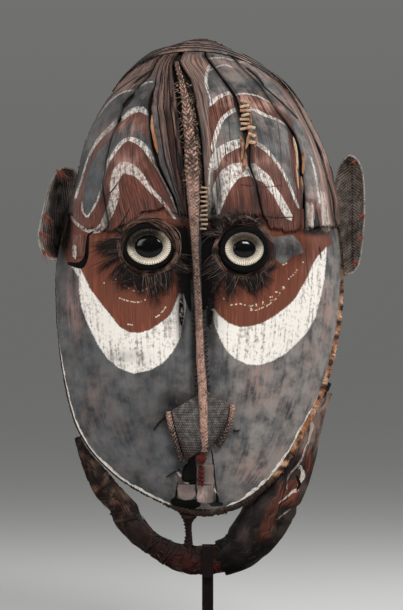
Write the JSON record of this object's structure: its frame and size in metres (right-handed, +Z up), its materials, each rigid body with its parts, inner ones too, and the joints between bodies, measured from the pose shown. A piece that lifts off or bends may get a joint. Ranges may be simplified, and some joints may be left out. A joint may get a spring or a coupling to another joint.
{
  "type": "gable mask on a museum stand",
  "caption": "Tall hollow gable mask of painted palm spathe and cane, with shell eyes, netted nose, basketry ears and a jaw loop, upright on a steel post and plate.",
  "frame": {"origin": "middle of the base plate's underside", "axes": "+Z up; the mask faces -Y, and +X is to its right as seen from the front"},
  "size_m": [0.5904, 0.3352, 1.1446],
  "materials": {
    "stand_steel": "dark bronze paint, satin, rubbed at the edges",
    "face_spathe": "palm spathe painted dark blue-grey, red-brown and chalky white, worn and mottled",
    "forehead_spathe": "split palm spathe, red-brown, grey and white painted bands along the grain",
    "lining_spathe": "bare dark spathe, soot-brown",
    "plait": "plaited fibre, pink-brown earth rubbed in",
    "knit": "knotless netting, grey, dusty",
    "cane": "split cane, orange-brown, dull gloss",
    "paste": "hardened black nut paste, half matt",
    "shell": "ivory white shell, fine radial lines, half gloss",
    "pupil": "black nut paste polished to a gloss",
    "feather": "hair-like brown-black feathers",
    "bead": "red seeds and beads, half gloss",
    "binding": "wrapped dark brown fibre and bark over cane",
    "sheath_spathe": "torn palm spathe, grey-black and red-brown with thin white curls",
    "basket": "coiled basketry, dark grey-brown, pale edge",
    "tassel": "frayed red cord"
  },
  "bodies": {
    "root": {"stand_base": "stand_steel", "stand_post": "stand_steel", "head_lining": "lining_spathe", "nose_backing": "lining_spathe", "face_sheet": "face_spathe", "temple_tab": "face_spathe", "chin_strip": "face_spathe", "chin_flap": "face_spathe", "centre_ridge": "plait", "ridge_stitches": "plait", "split_lashing_upper": "cane", "split_lashing_temple": "cane", "split_cane_left": "cane", "rim_hoop": "cane", "jaw_loop": "binding", "mouth_strut": "binding", "jaw_sheath": "sheath_spathe", "forehead_left_outer": "forehead_spathe", "forehead_left_inner": "forehead_spathe", "forehead_left_centre": "forehead_spathe", "forehead_right_centre": "forehead_spathe", "forehead_right_middle": "forehead_spathe", "forehead_right_narrow": "forehead_spathe", "forehead_right_outer": "forehead_spathe", "crown_left": "forehead_spathe", "crown_middle": "forehead_spathe", "crown_right": "forehead_spathe", "eye_paste_left": "paste", "eye_shell_left": "shell", "eye_pupil_left": "pupil", "eye_cord_left": "plait", "feathers_left": "feather", "nose_wing_left": "knit", "nose_edge_left": "plait", "ear_left": "basket", "ear_tassel_left_1": "tassel", "ear_tassel_left_2": "tassel", "ear_tassel_left_3": "tassel", "ear_tassel_left_4": "tassel", "eye_paste_right": "paste", "eye_shell_right": "shell", "eye_pupil_right": "pupil", "eye_cord_right": "plait", "feathers_right": "feather", "nose_wing_right": "knit", "nose_edge_right": "plait", "ear_right": "basket", "ear_tassel_right_1": "tassel", "ear_tassel_right_2": "tassel", "ear_tassel_right_3": "tassel", "ear_tassel_right_4": "tassel", "feathers_brow": "feather", "nose_bead_cluster": "bead", "nose_bead_string": "bead", "nose_twig_upper_left": "cane", "nose_twig_lower_left": "cane", "nose_twig_right": "cane"}
  },
  "joints": []
}
